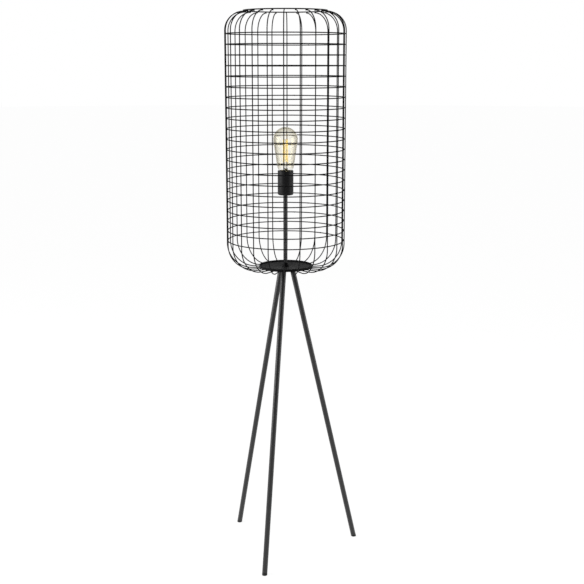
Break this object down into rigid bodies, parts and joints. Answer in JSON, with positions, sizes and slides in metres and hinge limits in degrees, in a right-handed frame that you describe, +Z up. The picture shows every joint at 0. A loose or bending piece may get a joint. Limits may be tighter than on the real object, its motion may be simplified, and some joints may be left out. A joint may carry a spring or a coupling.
{
  "type": "floor lamp",
  "caption": "Black floor lamp with a tall open cage of welded wire round a single bulb, on a round base plate and three slanting tubular legs.",
  "frame": {"origin": "on the floor, at the middle of the lamp's bounding box; the stem axis is at X = 0, Y = 0.025 m", "axes": "+Z up along the stem, one leg towards -Y (front), the other two towards the right and left at the back"},
  "size_m": [0.3606, 0.3642, 1.464],
  "materials": {
    "cage_wire": "satin black powder coat",
    "black_metal": "satin black powder coat, fine texture",
    "holder_metal": "matt black paint",
    "black_plastic": "moulded black phenolic",
    "foot_plastic": "matt black moulding",
    "zinc_steel": "zinc plated steel",
    "brass": "bare brass",
    "cap_metal": "brass bulb cap",
    "amber_glass": "clear glass with an amber tint",
    "clear_glass": "clear glass",
    "filament": "golden filament wire",
    "support_wire": "fine support wire"
  },
  "bodies": {
    "lamp": {"base_plate": "black_metal", "cage_ring_01": "cage_wire", "cage_ring_02": "cage_wire", "cage_ring_03": "cage_wire", "cage_ring_04": "cage_wire", "cage_ring_05": "cage_wire", "cage_ring_06": "cage_wire", "cage_ring_07": "cage_wire", "cage_ring_08": "cage_wire", "cage_ring_09": "cage_wire", "cage_ring_10": "cage_wire", "cage_ring_11": "cage_wire", "cage_ring_12": "cage_wire", "cage_ring_13": "cage_wire", "cage_ring_14": "cage_wire", "cage_ring_15": "cage_wire", "cage_ring_16": "cage_wire", "cage_ring_17": "cage_wire", "cage_ring_18": "cage_wire", "cage_ring_19": "cage_wire", "cage_ring_20": "cage_wire", "cage_ring_21": "cage_wire", "cage_top_ring": "cage_wire", "cage_uprights_1": "cage_wire", "cage_uprights_2": "cage_wire", "cage_uprights_3": "cage_wire", "cage_uprights_4": "cage_wire", "cage_uprights_5": "cage_wire", "cage_uprights_6": "cage_wire", "cord_bush": "black_plastic", "foot_front": "foot_plastic", "foot_left": "foot_plastic", "foot_right": "foot_plastic", "holder_center_contact": "brass", "holder_contact_block": "black_plastic", "holder_cup": "holder_metal", "holder_lower_half": "black_plastic", "holder_nut": "zinc_steel", "holder_screw_shell": "brass", "holder_side_contact": "brass", "holder_sleeve": "black_plastic", "holder_terminal_screws": "brass", "leg_bosses": "black_metal", "leg_front": "black_metal", "leg_inserts": "zinc_steel", "leg_left": "black_metal", "leg_right": "black_metal", "leg_studs": "zinc_steel", "stem_lower_nut": "black_metal", "stem_tube": "black_metal", "stem_upper_nut": "black_metal", "stem_washer": "black_metal"},
    "bulb_lift": {"bulb_contact": "brass"},
    "bulb": {"bulb_cap": "cap_metal", "bulb_filament": "filament", "bulb_glass": "amber_glass", "bulb_insulator": "black_plastic", "bulb_mount": "clear_glass", "bulb_supports": "support_wire"}
  },
  "joints": [
    {"name": "bulb_rise", "type": "slide", "parent": "lamp", "child": "bulb_lift", "axis": [0, 0, 1], "range_m": [0, 0.0254]},
    {"name": "bulb_turn", "type": "hinge", "parent": "bulb_lift", "child": "bulb", "pos_m": [0, 0.02509, 1.04065], "axis": [0, 0, 1], "range_deg": [0, 2520]}
  ],
  "couplings": [
    {"joint": "bulb_rise", "follows": "bulb_turn", "m_per_rad": 0.00057757}
  ]
}
